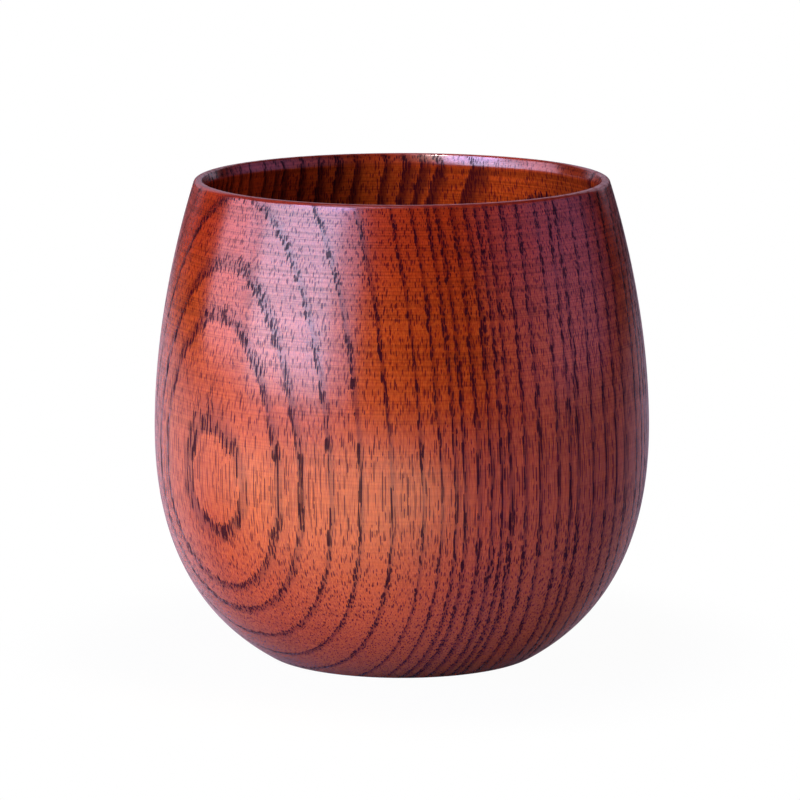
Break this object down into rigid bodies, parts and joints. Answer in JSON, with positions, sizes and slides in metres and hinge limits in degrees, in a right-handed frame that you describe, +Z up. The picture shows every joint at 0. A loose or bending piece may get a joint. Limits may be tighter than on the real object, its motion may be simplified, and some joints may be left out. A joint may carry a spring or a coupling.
{
  "type": "wooden cup",
  "caption": "Handleless egg-shaped drinking cup turned in solid wood, with a wide belly, a thin rounded lip and a flat foot ring to stand on.",
  "frame": {"origin": "centre of the foot ring, on the surface that the cup stands on", "axes": "+Z up along the turning axis, towards the mouth; X and Y are free, since the cup is turned"},
  "size_m": [0.08, 0.08, 0.0772],
  "materials": {
    "lacquered_wood": "ring-porous hardwood, stained red-brown under a clear satin lacquer"
  },
  "bodies": {
    "root": {"cup_body": "lacquered_wood"}
  },
  "joints": []
}
